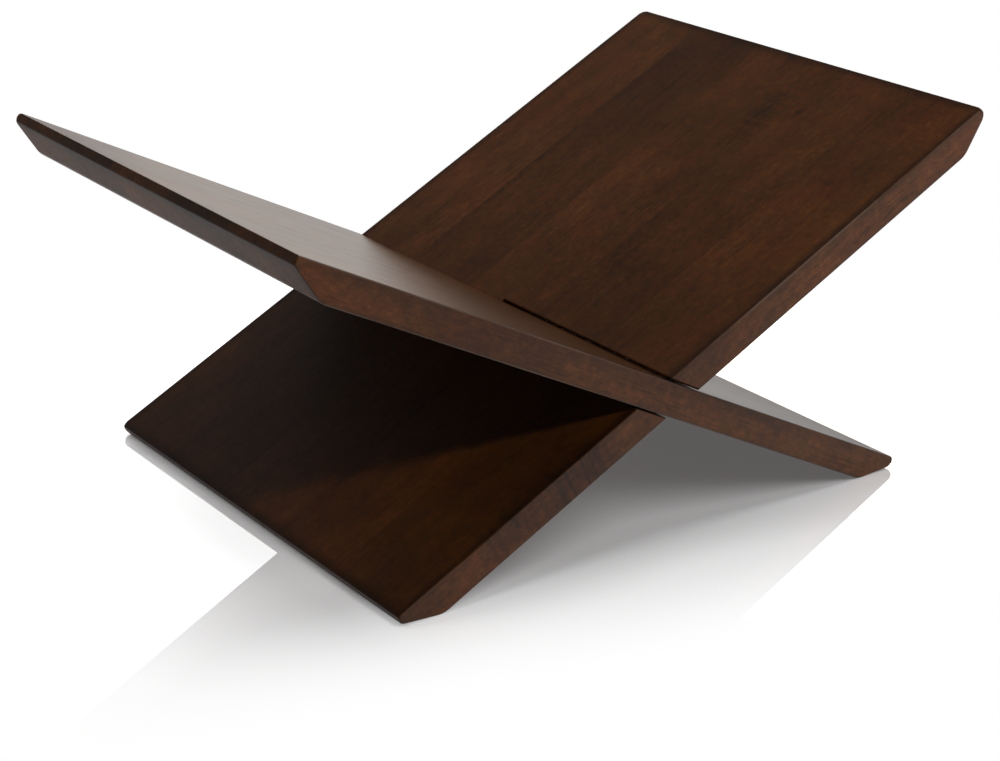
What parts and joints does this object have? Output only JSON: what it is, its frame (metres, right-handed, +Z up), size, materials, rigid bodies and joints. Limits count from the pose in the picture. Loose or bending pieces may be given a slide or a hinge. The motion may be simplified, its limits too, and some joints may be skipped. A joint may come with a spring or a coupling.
{
  "type": "book stand",
  "caption": "X-shaped stand of slotted wooden boards that push together without hardware, to hold an open book in their V.",
  "frame": {"origin": "on the floor, under the middle of the line where the two top faces cross", "axes": "+Z up; +X level, from the left board's foot towards its raised end; +Y level, along the crossing line, from the side where the left board's slot opens to the other long edge"},
  "size_m": [0.4426, 0.298, 0.2034],
  "materials": {
    "dark_stained_wood": "dark brown stain under satin lacquer"
  },
  "bodies": {
    "left_board": {"left_foot_board": "dark_stained_wood"},
    "right_board": {"right_foot_board": "dark_stained_wood"}
  },
  "joints": [
    {"name": "board_slide", "type": "slide", "parent": "left_board", "child": "right_board", "axis": [0, -1, 0], "range_m": [0, 0.31]}
  ]
}
